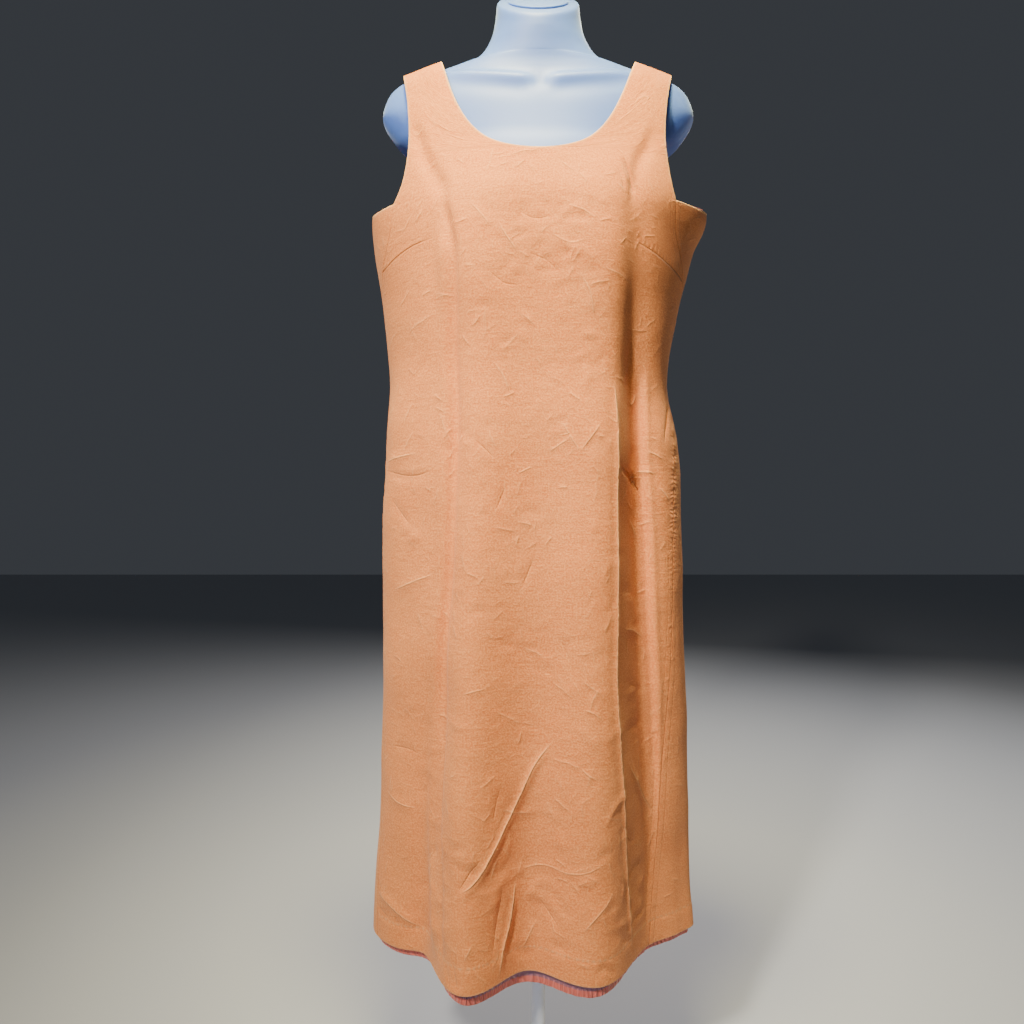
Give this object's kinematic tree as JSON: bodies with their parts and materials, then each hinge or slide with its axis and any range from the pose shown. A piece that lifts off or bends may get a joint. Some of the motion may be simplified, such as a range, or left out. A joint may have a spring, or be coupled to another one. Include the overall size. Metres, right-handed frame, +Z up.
{
  "type": "shift dress on a dress form",
  "caption": "Sleeveless scoop-neck shift dress in plain woven cloth with a coral lining, worn on a frosted limbless dress form that stands on a slim pole and a round base.",
  "frame": {"origin": "centre of the underside of the round base, on the floor", "axes": "+Z up, the dress faces -Y, +X is the wearer's left"},
  "size_m": [0.4521, 0.32, 1.5701],
  "materials": {
    "apricot_cloth": "apricot plain-woven linen and cotton cloth with fine slubs, matt",
    "coral_lining": "coral lining cloth with a slight sheen",
    "frosted_plastic": "frosted bluish-white plastic, satin",
    "white_steel": "satin white powder coat"
  },
  "bodies": {
    "root": {"dress_front": "apricot_cloth", "dress_back": "apricot_cloth", "lining_front": "coral_lining", "lining_back": "coral_lining", "form_torso": "frosted_plastic", "form_neck_cap": "frosted_plastic", "stand_base": "white_steel", "stand_collar": "white_steel", "stand_pole": "white_steel", "stand_flange": "white_steel"}
  },
  "joints": []
}
